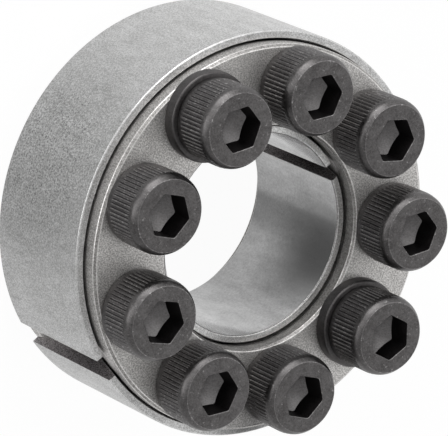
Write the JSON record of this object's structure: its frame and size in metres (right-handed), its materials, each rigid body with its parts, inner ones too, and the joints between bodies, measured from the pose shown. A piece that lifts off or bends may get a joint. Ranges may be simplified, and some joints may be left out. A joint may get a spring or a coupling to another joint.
{
  "type": "shaft locking assembly",
  "caption": "Keyless shaft locking assembly: slit taper rings clamped by two wedge rings and a circle of socket head screws.",
  "frame": {"origin": "centre of the rear thrust ring's rear face, on the shaft axis", "axes": "+Z along the shaft axis towards the screw heads, +X through clamping_screw_9"},
  "size_m": [0.05, 0.05, 0.0285],
  "materials": {
    "ground_steel": "fine blasted and oiled steel, matt",
    "thrust_ring_steel": "blasted and oiled steel, slightly warm",
    "black_oxide_steel": "black oxide, satin",
    "washer_steel": "black oxide, satin"
  },
  "bodies": {
    "rear_thrust_ring": {"rear_thrust_ring": "thrust_ring_steel"},
    "front_thrust_ring": {"front_thrust_ring": "thrust_ring_steel", "washer_1": "washer_steel", "washer_2": "washer_steel"},
    "outer_ring": {"outer_ring": "ground_steel"},
    "inner_ring": {"inner_ring": "ground_steel"},
    "clamping_screw_1": {"clamping_screw_1": "black_oxide_steel"},
    "clamping_screw_2": {"clamping_screw_2": "black_oxide_steel"},
    "clamping_screw_3": {"clamping_screw_3": "black_oxide_steel"},
    "clamping_screw_4": {"clamping_screw_4": "black_oxide_steel"},
    "clamping_screw_5": {"clamping_screw_5": "black_oxide_steel"},
    "clamping_screw_6": {"clamping_screw_6": "black_oxide_steel"},
    "clamping_screw_7": {"clamping_screw_7": "black_oxide_steel"},
    "clamping_screw_8": {"clamping_screw_8": "black_oxide_steel"},
    "clamping_screw_9": {"clamping_screw_9": "black_oxide_steel"}
  },
  "joints": [
    {"name": "thrust_rings_close", "type": "slide", "parent": "rear_thrust_ring", "child": "front_thrust_ring", "axis": [0, 0, -1], "range_m": [0, 0.0009]},
    {"name": "outer_ring_centres", "type": "slide", "parent": "rear_thrust_ring", "child": "outer_ring", "axis": [0, 0, -1], "range_m": [0, 0.00045]},
    {"name": "inner_ring_centres", "type": "slide", "parent": "rear_thrust_ring", "child": "inner_ring", "axis": [0, 0, -1], "range_m": [0, 0.00045]},
    {"name": "clamping_screw_1_tightens", "type": "hinge", "parent": "front_thrust_ring", "child": "clamping_screw_1", "pos_m": [0.01436, 0.01205, 0.0209], "axis": [0, 0, -1], "range_deg": [0, 324]},
    {"name": "clamping_screw_2_tightens", "type": "hinge", "parent": "front_thrust_ring", "child": "clamping_screw_2", "pos_m": [0.00326, 0.01847, 0.0209], "axis": [0, 0, -1], "range_deg": [0, 324]},
    {"name": "clamping_screw_3_tightens", "type": "hinge", "parent": "front_thrust_ring", "child": "clamping_screw_3", "pos_m": [-0.00937, 0.01624, 0.0209], "axis": [0, 0, -1], "range_deg": [0, 324]},
    {"name": "clamping_screw_4_tightens", "type": "hinge", "parent": "front_thrust_ring", "child": "clamping_screw_4", "pos_m": [-0.01762, 0.00641, 0.0209], "axis": [0, 0, -1], "range_deg": [0, 324]},
    {"name": "clamping_screw_5_tightens", "type": "hinge", "parent": "front_thrust_ring", "child": "clamping_screw_5", "pos_m": [-0.01762, -0.00641, 0.0209], "axis": [0, 0, -1], "range_deg": [0, 324]},
    {"name": "clamping_screw_6_tightens", "type": "hinge", "parent": "front_thrust_ring", "child": "clamping_screw_6", "pos_m": [-0.00937, -0.01624, 0.0209], "axis": [0, 0, -1], "range_deg": [0, 324]},
    {"name": "clamping_screw_7_tightens", "type": "hinge", "parent": "front_thrust_ring", "child": "clamping_screw_7", "pos_m": [0.00326, -0.01847, 0.0209], "axis": [0, 0, -1], "range_deg": [0, 324]},
    {"name": "clamping_screw_8_tightens", "type": "hinge", "parent": "front_thrust_ring", "child": "clamping_screw_8", "pos_m": [0.01436, -0.01205, 0.0209], "axis": [0, 0, -1], "range_deg": [0, 324]},
    {"name": "clamping_screw_9_tightens", "type": "hinge", "parent": "front_thrust_ring", "child": "clamping_screw_9", "pos_m": [0.01875, 0, 0.0209], "axis": [0, 0, -1], "range_deg": [0, 324]}
  ],
  "couplings": [
    {"joint": "outer_ring_centres", "follows": "thrust_rings_close", "ratio": 0.5},
    {"joint": "inner_ring_centres", "follows": "thrust_rings_close", "ratio": 0.5},
    {"joint": "clamping_screw_1_tightens", "follows": "thrust_rings_close", "rad_per_m": 6283.2},
    {"joint": "clamping_screw_2_tightens", "follows": "thrust_rings_close", "rad_per_m": 6283.2},
    {"joint": "clamping_screw_3_tightens", "follows": "thrust_rings_close", "rad_per_m": 6283.2},
    {"joint": "clamping_screw_4_tightens", "follows": "thrust_rings_close", "rad_per_m": 6283.2},
    {"joint": "clamping_screw_5_tightens", "follows": "thrust_rings_close", "rad_per_m": 6283.2},
    {"joint": "clamping_screw_6_tightens", "follows": "thrust_rings_close", "rad_per_m": 6283.2},
    {"joint": "clamping_screw_7_tightens", "follows": "thrust_rings_close", "rad_per_m": 6283.2},
    {"joint": "clamping_screw_8_tightens", "follows": "thrust_rings_close", "rad_per_m": 6283.2},
    {"joint": "clamping_screw_9_tightens", "follows": "thrust_rings_close", "rad_per_m": 6283.2}
  ]
}
